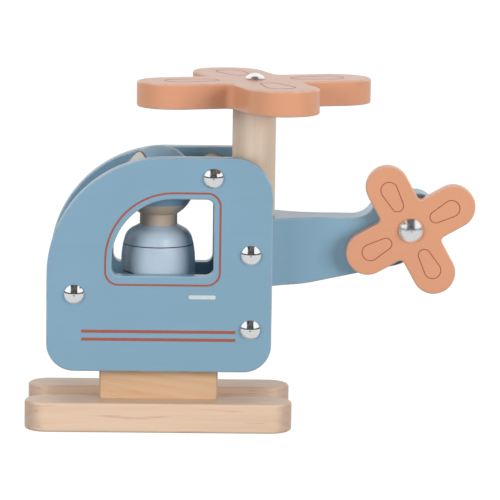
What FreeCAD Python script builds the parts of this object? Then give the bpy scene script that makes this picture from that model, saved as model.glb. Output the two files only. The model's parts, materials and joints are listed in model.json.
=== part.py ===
import FreeCAD, Part
import math
import os
import Sketcher

# Wooden toy helicopter.  Millimetres, +Z up, nose towards -X, tail towards +X.
# Left is the helicopter's own left side, which is -Y.
# The origin is on the ground, below the middle of the whole toy.  Dimensions along X are
# given from the middle of the cabin, which is also the middle of the skids, and every
# sub-part's Placement carries the step from there to the origin.

DOC = FreeCAD.newDocument("toy_helicopter")
ORIGIN = -1            # the sketch's own origin, as constraints name it
START, END, CENTRE = 1, 2, 3
X_AXIS, Y_AXIS = -1, -2
SMALLEST_CUT = 1e-3    # cubic millimetres that a pocket must at least remove


# ---------------------------------------------------------------- driving dimensions

SIZES = (
    # cabin side panels
    ("panel_reach", 56.6, "half the length of a side panel"),
    ("panel_bottom", 30.2, "height of the panels' lower edge"),
    ("panel_top", 138.9, "height of the panels' upper edge"),
    ("panel_thickness", 8.0, ""),
    ("cabin_gap", 38.8, "clear width between the panels"),
    ("nose_radius", 59.7, "the big arc from roof to nose"),
    ("rear_roof_radius", 20.0, ""),
    ("panel_foot_radius", 14.0, ""),
    ("window_front", -24.0, ""),
    ("window_rear", 27.1, ""),
    ("window_sill", 79.0, ""),
    ("window_head", 117.9, ""),
    ("window_nose_radius", 31.2, ""),
    ("window_corner_radius", 3.9, ""),
    ("edge_round", 1.0, "sanded edge of every painted board"),
    # steel cross rods and their domed caps
    ("rod_radius", 2.0, ""),
    ("rod_overhang", 2.0, "rod end that a cap grips"),
    ("nose_rod_x", -42.7, ""),
    ("nose_rod_height", 69.4, ""),
    ("roof_rod_x", 26.6, ""),
    ("roof_rod_height", 128.7, ""),
    ("boom_rod_x", 45.8, ""),
    ("boom_rod_height", 90.0, ""),
    ("floor_rod_x", 45.9, ""),
    ("floor_rod_height", 52.1, ""),
    ("spacer_radius", 7.0, "wooden spacers on the nose and roof rods"),
    ("cap_radius", 5.0, ""),
    ("cap_rim", 0.6, ""),
    ("cap_height", 3.0, ""),
    ("hub_cap_radius", 6.2, ""),
    ("hub_cap_height", 3.8, ""),
    # skids, pedestal and floor
    ("skid_length", 135.0, ""),
    ("skid_width", 23.0, ""),
    ("skid_thickness", 15.0, ""),
    ("skid_gap", 21.6, ""),
    ("skid_edge_round", 1.5, ""),
    ("pedestal_length", 60.0, ""),
    ("timber_play", 0.2, "how much narrower the inner blocks are than the cabin gap"),
    ("floor_front", -52.0, ""),
    ("floor_rear", 53.0, ""),
    ("floor_bottom", 38.0, ""),
    ("floor_top", 60.0, ""),
    ("block_chamfer", 0.8, ""),
    ("screw_radius", 1.75, ""),
    ("screw_head_radius", 3.5, ""),
    ("screw_head_height", 2.2, ""),
    ("screw_head_play", 0.3, "radial, between a screw head and its recess"),
    ("screw_recess", 4.5, "depth of the recess that hides a screw head"),
    ("screw_top", 29.0, ""),
    ("screw_x", 18.0, ""),
    ("screw_y", 15.2, ""),
    ("dowel_radius", 4.0, ""),
    ("dowel_x", 12.0, ""),
    ("dowel_bottom", 30.0, ""),
    ("dowel_top", 47.0, ""),
    # tail boom
    ("boom_front", 31.0, ""),
    ("boom_bottom", 73.0, ""),
    ("boom_top", 107.1, ""),
    ("boom_thickness", 19.0, "behind the taper"),
    ("taper_end", 84.0, ""),
    ("taper_radius", 43.6, ""),
    ("taper_angle", 39.0, "degrees between the boom's side and its root's cheek"),
    ("cheek_length", 18.4, "along the cheek, from the sharp bend to past the board's side"),
    ("cut_margin", 5.0, "how far a cutting outline runs past the board it cuts"),
    ("belly_bend_x", 73.5, ""),
    ("belly_bend_radius", 60.0, ""),
    ("tail_end", 139.5, ""),
    ("tail_foot_height", 87.0, ""),
    ("tail_foot_radius", 27.0, ""),
    ("fin_top", 119.9, ""),
    ("fin_rear_radius", 9.4, ""),
    ("fin_front_radius", 9.0, ""),
    ("fin_crest_x", 111.4, ""),
    ("fin_foot_x", 104.6, ""),
    ("fin_foot_radius", 11.0, ""),
    # mast and main rotor
    ("mast_x", 47.2, ""),
    ("mast_radius", 11.0, ""),
    ("mast_top", 162.2, ""),
    ("mast_socket_depth", 13.5, ""),
    ("mast_chamfer", 1.0, ""),
    ("washer_thickness", 1.0, ""),
    ("washer_radius", 7.0, ""),
    ("rotor_play", 0.1, "free gap on each face of a rotor"),
    ("running_clearance", 0.06, "radial, between a rotor and its pin"),
    ("rotor_reach", 43.1, "hub to the centre of an arm's round tip"),
    ("rotor_half_width", 18.3, ""),
    ("rotor_notch_radius", 3.7, ""),
    ("rotor_thickness", 12.7, ""),
    ("rotor_rest_angle", 17.4, "degrees"),
    ("pin_bottom", 140.0, ""),
    # tail rotor
    ("tail_hub_x", 126.4, ""),
    ("tail_hub_height", 102.2, ""),
    ("tail_rotor_reach", 24.6, ""),
    ("tail_rotor_half_width", 10.9, ""),
    ("tail_rotor_notch_radius", 2.3, ""),
    ("tail_rotor_thickness", 8.0, ""),
    ("tail_rotor_rest_angle", 29.3, "degrees"),
    # pilot, a turned peg figure that stands loose on the floor block
    ("pilot_x", -0.8, ""),
    ("pilot_base_radius", 18.8, ""),
    ("pilot_base_round", 2.0, ""),
    ("pilot_flank_height", 28.5, "above the pilot's base, where the side starts to lean in"),
    ("pilot_flank_radius", 42.0, ""),
    ("pilot_shoulder_reach", 16.3, "from the axis to the shoulder's sharp corner"),
    ("pilot_shoulder_height", 38.2, ""),
    ("pilot_shoulder_radius", 7.9, ""),
    ("pilot_collar_height", 41.8, "where the shoulder meets the neck"),
    ("pilot_neck_radius", 9.5, ""),
    ("pilot_neck_top", 52.0, "where the neck is lost inside the head"),
    ("pilot_head_radius", 18.6, ""),
    ("pilot_head_height", 63.2, "centre of the head above the base"),
)


def fill_sheet():
    sheet = DOC.addObject("Spreadsheet::Sheet", "Dims")
    for row, (alias, value, note) in enumerate(SIZES, start=1):
        sheet.set("A%d" % row, alias)
        sheet.set("B%d" % row, str(value))
        sheet.set("C%d" % row, note)
        sheet.setAlias("B%d" % row, alias)
    DOC.recompute()
    return sheet


DIMS = fill_sheet()


def size(expression):
    """The present value of an expression over the sheet's names, in millimetres or degrees."""
    return float(DIMS.evalExpression(str(expression)))


def bind(thing, **properties):
    """Bind properties to expressions; a double underscore stands for the dot in a path."""
    for path, expression in properties.items():
        thing.setExpression(path.replace("__", "."), str(expression))


# From the cabin's middle to the middle of the toy, which reaches from the skids' front end
# to the tip of the tail rotor's rear upper arm.
TAIL_TIP = ("(Dims.tail_hub_x + Dims.tail_rotor_half_width"
            " + Dims.tail_rotor_reach * cos(Dims.tail_rotor_rest_angle * 1 deg))")
MIDDLE_X = "(%s - Dims.skid_length / 2) / 2" % TAIL_TIP


def place(thing, x="0", y="0", z="0", turn=None):
    """Put an object at bound coordinates, turned first by a fixed rotation."""
    if turn is not None:
        thing.Placement = FreeCAD.Placement(FreeCAD.Vector(), turn)
    bind(thing, Placement__Base__x="%s - %s" % (x, MIDDLE_X),
         Placement__Base__y=y, Placement__Base__z=z)


ABOUT_X = FreeCAD.Vector(1, 0, 0)
FACE_LEFT = FreeCAD.Rotation(ABOUT_X, 90)       # turns an object's own +Z to -Y
FACE_RIGHT = FreeCAD.Rotation(ABOUT_X, -90)     # turns an object's own +Z to +Y


# ---------------------------------------------------------------- sketches

def new_body(label):
    body = DOC.addObject("PartDesign::Body", label)
    body.Label = label
    return body


def new_sketch(body, name, plane):
    sketch = body.newObject("Sketcher::SketchObject", name)
    base = next(item for item in body.Origin.OriginFeatures if item.Role == plane)
    sketch.AttachmentSupport = [(base, "")]
    sketch.MapMode = "FlatFace"
    return sketch


def pin_point(sketch, geometry, position, x, y):
    """Fix a point of a sketch at bound distances from the sketch's origin."""
    for kind, axis, expression in (("DistanceX", 0, x), ("DistanceY", 1, y)):
        if size(expression) == 0.0:
            line = Y_AXIS if axis == 0 else X_AXIS
            sketch.addConstraint(Sketcher.Constraint("PointOnObject", geometry, position, line))
            continue
        value = size(expression)
        index = sketch.addConstraint(
            Sketcher.Constraint(kind, ORIGIN, START, geometry, position, value))
        sketch.setExpression("Constraints[%d]" % index, str(expression))


def corner_arc(corner, entry, exit_point, radius, turns_left):
    """An anticlockwise arc over a corner, and which of its ends meet the entry and the exit."""
    if not radius:
        return None
    inward = (entry + exit_point) * 0.5 - corner
    inward.normalize()
    to_centre = math.hypot(radius, (entry - corner).Length)
    middle = corner + inward * (to_centre - radius)
    if turns_left:
        return Part.Arc(entry, middle, exit_point), START, END
    return Part.Arc(exit_point, middle, entry), END, START


def draw_outline(sketch, corners):
    """Draw a closed outline of straight edges through corners (x, y, radius or None).

    A corner with a radius is a tangent arc, and a construction point keeps the sharp corner.
    """
    points = [FreeCAD.Vector(size(x), size(y), 0) for x, y, radius in corners]
    radii = [0.0 if radius is None else size(radius) for x, y, radius in corners]
    count = len(corners)
    ahead = [(points[(i + 1) % count] - points[i]).normalize() for i in range(count)]
    entries, exits, arcs = [], [], []
    for i in range(count):
        turn = ahead[i - 1].getAngle(ahead[i])
        setback = radii[i] * math.tan(turn / 2)
        entries.append(points[i] - ahead[i - 1] * setback)
        exits.append(points[i] + ahead[i] * setback)
        turns_left = ahead[i - 1].cross(ahead[i]).z > 0
        arcs.append(corner_arc(points[i], entries[i], exits[i], radii[i], turns_left))
    lines = []
    for i in range(count):
        edge = Part.LineSegment(exits[i], entries[(i + 1) % count])
        lines.append(sketch.addGeometry(edge))
    for i, (x, y, radius) in enumerate(corners):
        before, after = lines[i - 1], lines[i]
        if radius is None:
            sketch.addConstraint(Sketcher.Constraint("Coincident", before, END, after, START))
            pin_point(sketch, after, START, x, y)
            continue
        shape, near, far = arcs[i]
        arc = sketch.addGeometry(shape)
        sketch.addConstraint(Sketcher.Constraint("Tangent", before, END, arc, near))
        sketch.addConstraint(Sketcher.Constraint("Tangent", after, START, arc, far))
        index = sketch.addConstraint(Sketcher.Constraint("Radius", arc, radii[i]))
        sketch.setExpression("Constraints[%d]" % index, str(radius))
        corner = sketch.addGeometry(Part.Point(points[i]), True)
        for line in (before, after):
            sketch.addConstraint(Sketcher.Constraint("PointOnObject", corner, START, line))
        pin_point(sketch, corner, START, x, y)


def draw_circle(sketch, x, y, radius):
    centre = FreeCAD.Vector(size(x), size(y), 0)
    circle = sketch.addGeometry(Part.Circle(centre, FreeCAD.Vector(0, 0, 1), size(radius)))
    pin_point(sketch, circle, CENTRE, x, y)
    index = sketch.addConstraint(Sketcher.Constraint("Radius", circle, size(radius)))
    sketch.setExpression("Constraints[%d]" % index, str(radius))


# ---------------------------------------------------------------- features

def pad(body, sketch, length, both_ways=False):
    feature = body.newObject("PartDesign::Pad", sketch.Name + "Pad")
    feature.Profile = (sketch, [""])
    feature.Midplane = both_ways
    bind(feature, Length=length)
    sketch.Visibility = False
    DOC.recompute()
    return feature


def cut(body, sketch, depth=None, reverse=False):
    """Pocket a sketch to a bound depth, or right through both ways, and see that it bites."""
    before = body.Shape.Volume
    feature = body.newObject("PartDesign::Pocket", sketch.Name + "Pocket")
    feature.Profile = (sketch, [""])
    feature.Reversed = reverse
    if depth is None:
        feature.Type = "ThroughAll"
        feature.Midplane = True
    else:
        bind(feature, Length=depth)
    sketch.Visibility = False
    DOC.recompute()
    if not body.Shape.Volume < before - SMALLEST_CUT:
        raise RuntimeError(feature.Name + " cuts nothing")
    return feature


def round_edges(body, name, radius, wanted, kind="PartDesign::Fillet"):
    """Fillet or chamfer the edges of the body's tip that the test wanted(edge) picks."""
    base = body.Tip
    picked = []
    for number, edge in enumerate(base.Shape.Edges, start=1):
        if wanted(edge):
            picked.append("Edge%d" % number)
    if not picked:
        raise RuntimeError(name + " finds no edges")
    feature = body.newObject(kind, name)
    feature.Base = (base, picked)
    bind(feature, **{"Radius" if kind.endswith("Fillet") else "Size": radius})
    DOC.recompute()
    return feature


def lies_flat_at(axis, *levels):
    """A test for edges that lie wholly in one of some planes across the axis (0, 1 or 2)."""
    def test(edge):
        box = edge.BoundBox
        low = (box.XMin, box.YMin, box.ZMin)[axis]
        high = (box.XMax, box.YMax, box.ZMax)[axis]
        return high - low < 1e-4 and min(abs(low - level) for level in levels) < 1e-4
    return test


RODS = (
    ("nose", "Dims.nose_rod_x", "Dims.nose_rod_height"),
    ("roof", "Dims.roof_rod_x", "Dims.roof_rod_height"),
    ("boom", "Dims.boom_rod_x", "Dims.boom_rod_height"),
    ("floor", "Dims.floor_rod_x", "Dims.floor_rod_height"),
)
INNER_WIDTH = "(Dims.cabin_gap - Dims.timber_play)"


# ---------------------------------------------------------------- cabin

def side_panel(label, inner_face):
    """A painted board: its own Y = 0 is the face that is nearer to +Y."""
    body = new_body(label)
    outline = new_sketch(body, label + "_outline", "XZ_Plane")
    draw_outline(outline, (
        ("-Dims.panel_reach", "Dims.panel_bottom", "Dims.panel_foot_radius"),
        ("Dims.panel_reach", "Dims.panel_bottom", "Dims.panel_foot_radius"),
        ("Dims.panel_reach", "Dims.panel_top", "Dims.rear_roof_radius"),
        ("-Dims.panel_reach", "Dims.panel_top", "Dims.nose_radius"),
    ))
    pad(body, outline, "Dims.panel_thickness")

    window = new_sketch(body, label + "_window", "XZ_Plane")
    draw_outline(window, (
        ("Dims.window_front", "Dims.window_sill", "Dims.window_corner_radius"),
        ("Dims.window_rear", "Dims.window_sill", "Dims.window_corner_radius"),
        ("Dims.window_rear", "Dims.window_head", "Dims.window_corner_radius"),
        ("Dims.window_front", "Dims.window_head", "Dims.window_nose_radius"),
    ))
    cut(body, window)
    faces = lies_flat_at(1, 0.0, -size("Dims.panel_thickness"))
    round_edges(body, label + "_sanding", "Dims.edge_round", faces)

    holes = new_sketch(body, label + "_rod_holes", "XZ_Plane")
    for name, x, height in RODS:
        draw_circle(holes, x, height, "Dims.rod_radius")
    cut(body, holes)
    place(body, y=inner_face)
    return body


def spacer(label, x, height):
    """A short dowel, threaded on a cross rod, that holds the panels apart."""
    body = new_body(label)
    section = new_sketch(body, label + "_section", "XZ_Plane")
    draw_circle(section, x, height, "Dims.spacer_radius")
    draw_circle(section, x, height, "Dims.rod_radius")
    pad(body, section, INNER_WIDTH, both_ways=True)
    place(body)
    return body


def floor_block():
    body = new_body("floor_block")
    side = new_sketch(body, "floor_side", "XZ_Plane")
    draw_outline(side, (
        ("Dims.floor_front", "Dims.floor_bottom", None),
        ("Dims.floor_rear", "Dims.floor_bottom", None),
        ("Dims.floor_rear", "Dims.floor_top", None),
        ("Dims.floor_front", "Dims.floor_top", None),
    ))
    pad(body, side, INNER_WIDTH, both_ways=True)
    half = size(INNER_WIDTH) / 2
    round_edges(body, "floor_chamfer", "Dims.block_chamfer",
                lies_flat_at(1, half, -half), "PartDesign::Chamfer")
    rod_hole = new_sketch(body, "floor_rod_hole", "XZ_Plane")
    draw_circle(rod_hole, "Dims.floor_rod_x", "Dims.floor_rod_height", "Dims.rod_radius")
    cut(body, rod_hole)
    dowel_holes = new_sketch(body, "floor_dowel_holes", "XY_Plane")
    for side_sign in ("-", ""):
        draw_circle(dowel_holes, side_sign + "Dims.dowel_x", "0", "Dims.dowel_radius")
    cut(body, dowel_holes, depth="Dims.dowel_top", reverse=True)
    place(body)
    return body


# ---------------------------------------------------------------- undercarriage

def skid(label, side_sign):
    """A round-ended runner; its screw heads sink into its underside."""
    body = new_body(label)
    plan = new_sketch(body, label + "_plan", "XY_Plane")
    reach, half = "Dims.skid_length / 2", "Dims.skid_width / 2"
    draw_round_ended(plan, "(%s - %s)" % (reach, half), half)
    pad(body, plan, "Dims.skid_thickness")
    faces = lies_flat_at(2, 0.0, size("Dims.skid_thickness"))
    round_edges(body, label + "_sanding", "Dims.skid_edge_round", faces)
    middle = "(Dims.skid_gap + Dims.skid_width) / 2"
    inset = "%s(Dims.screw_y - %s)" % (side_sign, middle)
    for name, radius, depth in (("screw_holes", "Dims.screw_radius", None),
                                ("screw_recesses", "(Dims.screw_head_radius + Dims.screw_head_play)",
                                 "Dims.screw_recess")):
        holes = new_sketch(body, label + "_" + name, "XY_Plane")
        for end_sign in ("-", ""):
            draw_circle(holes, end_sign + "Dims.screw_x", inset, radius)
        cut(body, holes, depth=depth, reverse=True)
    place(body, y="%s%s" % (side_sign, middle))
    return body


def draw_round_ended(sketch, reach, half_width):
    """A slot-shaped outline along X, centred on the sketch's origin."""
    x, y = size(reach), size(half_width)
    top = sketch.addGeometry(Part.LineSegment(FreeCAD.Vector(-x, y, 0), FreeCAD.Vector(x, y, 0)))
    low = sketch.addGeometry(Part.LineSegment(FreeCAD.Vector(x, -y, 0), FreeCAD.Vector(-x, -y, 0)))
    ends = []
    for sign in (1, -1):
        arc = Part.Arc(FreeCAD.Vector(sign * x, sign * y, 0),
                       FreeCAD.Vector(sign * (x + y), 0, 0),
                       FreeCAD.Vector(sign * x, -sign * y, 0))
        ends.append(sketch.addGeometry(arc))
    for line, end, other in ((top, ends[0], ends[1]), (low, ends[1], ends[0])):
        sketch.addConstraint(Sketcher.Constraint("Tangent", line, END, end, END))
        sketch.addConstraint(Sketcher.Constraint("Tangent", line, START, other, START))
    sketch.addConstraint(Sketcher.Constraint("Horizontal", top))
    pin_point(sketch, ends[0], CENTRE, reach, "0")
    pin_point(sketch, ends[1], CENTRE, "-%s" % reach, "0")
    index = sketch.addConstraint(Sketcher.Constraint("Radius", ends[0], y))
    sketch.setExpression("Constraints[%d]" % index, half_width)


def pedestal_block():
    """The block that stands on both skids and carries the cabin floor."""
    body = new_body("pedestal_block")
    plan = new_sketch(body, "pedestal_plan", "XY_Plane")
    half_length, half_width = "Dims.pedestal_length / 2", INNER_WIDTH + " / 2"
    draw_outline(plan, (
        ("-" + half_length, "-" + half_width, None),
        (half_length, "-" + half_width, None),
        (half_length, half_width, None),
        ("-" + half_length, half_width, None),
    ))
    pad(body, plan, "Dims.floor_bottom - Dims.skid_thickness")
    round_edges(body, "pedestal_chamfer", "Dims.block_chamfer",
                lambda edge: abs(edge.BoundBox.ZLength) > 1.0, "PartDesign::Chamfer")
    screw_holes = new_sketch(body, "pedestal_screw_holes", "XY_Plane")
    for x_sign in ("-", ""):
        for y_sign in ("-", ""):
            draw_circle(screw_holes, x_sign + "Dims.screw_x", y_sign + "Dims.screw_y",
                        "Dims.screw_radius")
    cut(body, screw_holes, depth="Dims.screw_top - Dims.skid_thickness", reverse=True)
    dowel_holes = new_sketch(body, "pedestal_dowel_holes", "XY_Plane")
    dowel_holes.setExpression("AttachmentOffset.Base.z",
                              "Dims.floor_bottom - Dims.skid_thickness")
    for x_sign in ("-", ""):
        draw_circle(dowel_holes, x_sign + "Dims.dowel_x", "0", "Dims.dowel_radius")
    cut(body, dowel_holes, depth="Dims.floor_bottom - Dims.dowel_bottom")
    place(body, z="Dims.skid_thickness")
    return body


# ---------------------------------------------------------------- tail boom

def tail_boom():
    """One shaped board: it fills the cabin gap at its root and thins towards the fin."""
    body = new_body("tail_boom")
    side = new_sketch(body, "boom_side", "XZ_Plane")
    draw_outline(side, (
        ("Dims.boom_front", "Dims.boom_bottom", None),
        ("Dims.belly_bend_x", "Dims.boom_bottom", "Dims.belly_bend_radius"),
        ("Dims.tail_end", "Dims.tail_foot_height", "Dims.tail_foot_radius"),
        ("Dims.tail_end", "Dims.fin_top", "Dims.fin_rear_radius"),
        ("Dims.fin_crest_x", "Dims.fin_top", "Dims.fin_front_radius"),
        ("Dims.fin_foot_x", "Dims.boom_top", "Dims.fin_foot_radius"),
        ("Dims.boom_front", "Dims.boom_top", None),
    ))
    pad(body, side, INNER_WIDTH, both_ways=True)

    # The cheek runs into the cabin gap at taper_angle; its far corner lies outside the board.
    half = "Dims.boom_thickness / 2"
    angle = "(Dims.taper_angle * 1 deg)"
    setback = "Dims.taper_radius * tan(%s / 2)" % angle
    bend = "(Dims.taper_end - %s)" % setback
    out_x = "(%s - Dims.cheek_length * cos(%s))" % (bend, angle)
    out_y = "(%s + Dims.cheek_length * sin(%s))" % (half, angle)
    beyond = "(Dims.tail_end + Dims.cut_margin)"
    taper = new_sketch(body, "boom_taper", "XY_Plane")
    draw_outline(taper, (
        (out_x, out_y, None),
        (bend, half, "Dims.taper_radius"),
        (beyond, half, None),
        (beyond, out_y, None),
    ))
    near_cut = cut(body, taper)
    mirror = body.newObject("PartDesign::Mirrored", "boom_taper_mirror")
    mirror.Originals = [near_cut]
    plane = next(item for item in body.Origin.OriginFeatures if item.Role == "XZ_Plane")
    mirror.MirrorPlane = (plane, [""])
    body.Tip = mirror
    DOC.recompute()
    round_edges(body, "boom_sanding", "Dims.edge_round", boom_long_edge)

    socket = new_sketch(body, "mast_socket", "XY_Plane")
    socket.setExpression("AttachmentOffset.Base.z", "Dims.boom_top")
    draw_circle(socket, "Dims.mast_x", "0", "Dims.mast_radius")
    cut(body, socket, depth="Dims.mast_socket_depth")
    rod_holes = new_sketch(body, "boom_rod_holes", "XZ_Plane")
    draw_circle(rod_holes, "Dims.boom_rod_x", "Dims.boom_rod_height", "Dims.rod_radius")
    draw_circle(rod_holes, "Dims.tail_hub_x", "Dims.tail_hub_height", "Dims.rod_radius")
    cut(body, rod_holes)
    place(body)
    return body


def boom_long_edge(edge):
    """True for the edges between a cheek and the top, belly or end, behind the cabin."""
    box = edge.BoundBox
    behind_cabin = box.XMin > size("Dims.panel_reach") - 0.2
    on_one_cheek = box.YMin * box.YMax > 0
    stands_upright = box.XLength < 1e-4 and box.ZLength > size("Dims.boom_thickness")
    return behind_cabin and on_one_cheek and not stands_upright


# ---------------------------------------------------------------- mast and rotors

def dowel(label, radius, length, chamfer):
    body = new_body(label)
    section = new_sketch(body, label + "_section", "XY_Plane")
    draw_circle(section, "0", "0", radius)
    pad(body, section, length)
    ends = lies_flat_at(2, 0.0, size(length))
    round_edges(body, label + "_chamfer", chamfer, ends, "PartDesign::Chamfer")
    return body


def rotor_mast():
    body = dowel("rotor_mast", "Dims.mast_radius",
                 "Dims.mast_top - Dims.boom_top + Dims.mast_socket_depth", "Dims.mast_chamfer")
    pin_hole = new_sketch(body, "mast_pin_hole", "XY_Plane")
    pin_hole.setExpression("AttachmentOffset.Base.z",
                           "Dims.mast_top - Dims.boom_top + Dims.mast_socket_depth")
    draw_circle(pin_hole, "0", "0", "Dims.rod_radius")
    cut(body, pin_hole, depth="Dims.mast_top - Dims.pin_bottom")
    place(body, x="Dims.mast_x", z="Dims.boom_top - Dims.mast_socket_depth")
    return body


def rotor(label, plane, reach, half_width, notch, thickness, rest_angle, spin_axis, where):
    """Four equal round-tipped arms, cut from one board, about a central bore."""
    body = new_body(label)
    arm = new_sketch(body, label + "_arm", plane)
    x, y = size(reach), size(half_width)
    corners = [FreeCAD.Vector(0, -y, 0), FreeCAD.Vector(x, -y, 0),
               FreeCAD.Vector(x, y, 0), FreeCAD.Vector(0, y, 0)]
    low = arm.addGeometry(Part.LineSegment(corners[0], corners[1]))
    tip = arm.addGeometry(Part.Arc(corners[1], FreeCAD.Vector(x + y, 0, 0), corners[2]))
    top = arm.addGeometry(Part.LineSegment(corners[2], corners[3]))
    root = arm.addGeometry(Part.LineSegment(corners[3], corners[0]))
    arm.addConstraint(Sketcher.Constraint("Tangent", low, END, tip, START))
    arm.addConstraint(Sketcher.Constraint("Tangent", tip, END, top, START))
    arm.addConstraint(Sketcher.Constraint("Coincident", top, END, root, START))
    arm.addConstraint(Sketcher.Constraint("Coincident", root, END, low, START))
    for line in (low, top):
        arm.addConstraint(Sketcher.Constraint("Horizontal", line))
    pin_point(arm, tip, CENTRE, reach, "0")
    arm.addConstraint(Sketcher.Constraint("PointOnObject", low, START, Y_AXIS))
    arm.addConstraint(Sketcher.Constraint("PointOnObject", top, END, Y_AXIS))
    index = arm.addConstraint(Sketcher.Constraint("Radius", tip, y))
    arm.setExpression("Constraints[%d]" % index, half_width)
    first = pad(body, arm, thickness)

    ring = body.newObject("PartDesign::PolarPattern", label + "_arms")
    ring.Originals = [first]
    ring.Axis = (arm, ["N_Axis"])
    ring.Angle = 360
    ring.Occurrences = 4
    body.Tip = ring
    DOC.recompute()

    across = 2 if plane == "XY_Plane" else 1
    levels = (0.0, size(thickness) if plane == "XY_Plane" else -size(thickness))

    def in_notch(edge):
        lengths = (edge.BoundBox.XLength, edge.BoundBox.YLength, edge.BoundBox.ZLength)
        centre = edge.BoundBox.Center
        off_axis = math.hypot(*(value for i, value in enumerate(centre) if i != across))
        stands = lengths[across] > size(thickness) - 1e-3 and sum(lengths) < size(thickness) + 1e-2
        return stands and off_axis < size(half_width) * 1.5

    round_edges(body, label + "_notches", notch, in_notch)
    round_edges(body, label + "_sanding", "Dims.edge_round", lies_flat_at(across, *levels))
    bore = new_sketch(body, label + "_bore", plane)
    draw_circle(bore, "0", "0", "(Dims.rod_radius + Dims.running_clearance)")
    cut(body, bore)
    place(body, turn=FreeCAD.Rotation(spin_axis, 1), **where)
    bind(body, Placement__Rotation__Angle=rest_angle)
    return body


def dome_profile(name, radius, height):
    """Half section of a push-on cap: a rim, a dome and the blind bore that grips the rod."""
    sketch = DOC.addObject("Sketcher::SketchObject", name)
    rim, tall, bore = size(radius), size(height), size("Dims.rod_radius")
    foot, grip = size("Dims.cap_rim"), size("Dims.rod_overhang")
    corners = [(0, grip), (bore, grip), (bore, 0), (rim, 0), (rim, foot)]
    points = [FreeCAD.Vector(x, y, 0) for x, y in corners]
    crown = FreeCAD.Vector(0, tall, 0)
    lines = [sketch.addGeometry(Part.LineSegment(first, second))
             for first, second in zip(points, points[1:])]

    # The dome is a cap of the sphere through the rim and the crown.
    dome_rise = tall - foot
    dome_radius = (rim ** 2 + dome_rise ** 2) / (2 * dome_rise)
    half_angle = math.asin(rim / dome_radius) / 2
    shoulder = FreeCAD.Vector(dome_radius * math.sin(half_angle),
                              tall - dome_radius * (1 - math.cos(half_angle)), 0)
    dome = Part.Arc(points[-1], shoulder, crown)
    arc = sketch.addGeometry(dome)
    starts_at_rim = (dome.StartPoint - points[-1]).Length < 1e-6
    rim_end, crown_end = (START, END) if starts_at_rim else (END, START)
    spine = sketch.addGeometry(Part.LineSegment(crown, points[0]))

    for first, second in zip(lines, lines[1:]):
        sketch.addConstraint(Sketcher.Constraint("Coincident", first, END, second, START))
    sketch.addConstraint(Sketcher.Constraint("Coincident", lines[-1], END, arc, rim_end))
    sketch.addConstraint(Sketcher.Constraint("Coincident", arc, crown_end, spine, START))
    sketch.addConstraint(Sketcher.Constraint("Coincident", spine, END, lines[0], START))
    sketch.addConstraint(Sketcher.Constraint("PointOnObject", arc, CENTRE, Y_AXIS))
    pin_point(sketch, lines[0], START, "0", "Dims.rod_overhang")
    pin_point(sketch, lines[1], START, "Dims.rod_radius", "Dims.rod_overhang")
    pin_point(sketch, lines[2], START, "Dims.rod_radius", "0")
    pin_point(sketch, lines[3], START, radius, "0")
    pin_point(sketch, lines[3], END, radius, "Dims.cap_rim")
    pin_point(sketch, spine, START, "0", height)
    DOC.recompute()
    return sketch


def cap(name, profile, turn=None, **where):
    """Spin a cap's half section about its own axis and put its flat foot at the given place."""
    feature = DOC.addObject("Part::Revolution", name)
    feature.Source = profile
    feature.Axis = (0, 1, 0)
    feature.Angle = 360
    feature.Solid = True
    upright = FreeCAD.Rotation(ABOUT_X, 90)
    place(feature, turn=upright if turn is None else turn.multiply(upright), **where)
    return feature


def cylinder(name, length, radius="Dims.rod_radius"):
    feature = DOC.addObject("Part::Cylinder", name)
    bind(feature, Radius=radius, Height=length)
    return feature


def rod(name, length, radius="Dims.rod_radius", turn=None, **where):
    feature = cylinder(name, length, radius)
    place(feature, turn=turn, **where)
    return feature


def washer(label, turn=None, **where):
    disc = cylinder(label + "_disc", "Dims.washer_thickness", "Dims.washer_radius")
    hole = cylinder(label + "_hole", "Dims.washer_thickness")
    ring = DOC.addObject("Part::Cut", label)
    ring.Base = disc
    ring.Tool = hole
    place(ring, turn=turn, **where)
    return ring


def group(label, members):
    compound = DOC.addObject("Part::Compound", label)
    compound.Label = label
    compound.Links = members
    return compound


# ---------------------------------------------------------------- fasteners

OUTER_FACE = "(Dims.cabin_gap / 2 + Dims.panel_thickness)"


def rods_and_caps(rod_cap):
    rods, left, right = [], [], []
    for name, x, height in RODS:
        rods.append(rod(name + "_rod", "2 * (%s + Dims.rod_overhang)" % OUTER_FACE,
                        turn=FACE_LEFT, x=x, y="%s + Dims.rod_overhang" % OUTER_FACE, z=height))
        left.append(cap(name + "_left_cap", rod_cap, FACE_LEFT, x=x, y="-" + OUTER_FACE, z=height))
        right.append(cap(name + "_right_cap", rod_cap, FACE_RIGHT, x=x, y=OUTER_FACE, z=height))
    return [group("cross_rods", rods), group("side_caps_left", left),
            group("side_caps_right", right)]


def skid_screws():
    """Wood screws, head down, from the skids' undersides into the pedestal."""
    screws = []
    head_foot = "(Dims.screw_recess - Dims.screw_head_height)"
    for x_sign in ("-", ""):
        for y_sign in ("-", ""):
            where = {"x": x_sign + "Dims.screw_x", "y": y_sign + "Dims.screw_y", "z": head_foot}
            tag = "skid_screw_%d" % (len(screws) + 1)
            shank = rod(tag + "_shank", "Dims.screw_top - %s" % head_foot,
                        radius="Dims.screw_radius", **where)
            head = rod(tag + "_head", "Dims.screw_head_height",
                       radius="Dims.screw_head_radius", **where)
            screw = DOC.addObject("Part::Fuse", tag)
            screw.Base = shank
            screw.Tool = head
            screws.append(screw)
    return group("skid_screws", screws)


def pedestal_dowels():
    dowels = [rod("pedestal_dowel_%d" % (i + 1), "Dims.dowel_top - Dims.dowel_bottom",
                  radius="Dims.dowel_radius", x=sign + "Dims.dowel_x", z="Dims.dowel_bottom")
              for i, sign in enumerate(("-", ""))]
    return group("pedestal_dowels", dowels)


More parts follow.
